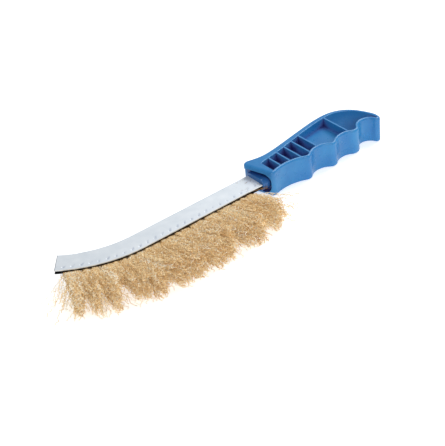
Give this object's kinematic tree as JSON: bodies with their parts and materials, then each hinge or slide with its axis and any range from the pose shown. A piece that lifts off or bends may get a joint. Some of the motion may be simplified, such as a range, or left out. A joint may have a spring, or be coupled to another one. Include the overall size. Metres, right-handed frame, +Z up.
{
  "type": "wire brush",
  "caption": "Hand wire brush: ribbed moulded plastic grip with finger hollows and a hanging hole, folded steel back bent up at the tip, and a long row of crimped wire bristles.",
  "frame": {"origin": "centre of the footprint on the surface that the brush lies on", "axes": "+X along the straight steel back towards the butt of the handle, -Y the way the bristles point, +Z up through the brush's thickness"},
  "size_m": [0.2868, 0.0704, 0.0219],
  "materials": {
    "handle_plastic": "gloss",
    "back_steel": "satin",
    "core_steel": "satin",
    "bristle_wire": "satin"
  },
  "bodies": {
    "root": {"handle": "handle_plastic", "back_channel": "back_steel", "core_wire": "core_steel", "wire_bundle_01": "bristle_wire", "wire_bundle_02": "bristle_wire", "wire_bundle_03": "bristle_wire", "wire_bundle_04": "bristle_wire", "wire_bundle_05": "bristle_wire", "wire_bundle_06": "bristle_wire", "wire_bundle_07": "bristle_wire", "wire_bundle_08": "bristle_wire", "wire_bundle_09": "bristle_wire", "wire_bundle_10": "bristle_wire", "wire_bundle_11": "bristle_wire", "wire_bundle_12": "bristle_wire", "wire_bundle_13": "bristle_wire", "wire_bundle_14": "bristle_wire", "wire_bundle_15": "bristle_wire", "wire_bundle_16": "bristle_wire", "wire_bundle_17": "bristle_wire", "wire_bundle_18": "bristle_wire", "wire_bundle_19": "bristle_wire", "wire_bundle_20": "bristle_wire", "wire_bundle_21": "bristle_wire", "wire_bundle_22": "bristle_wire", "wire_bundle_23": "bristle_wire", "wire_bundle_24": "bristle_wire"}
  },
  "joints": []
}
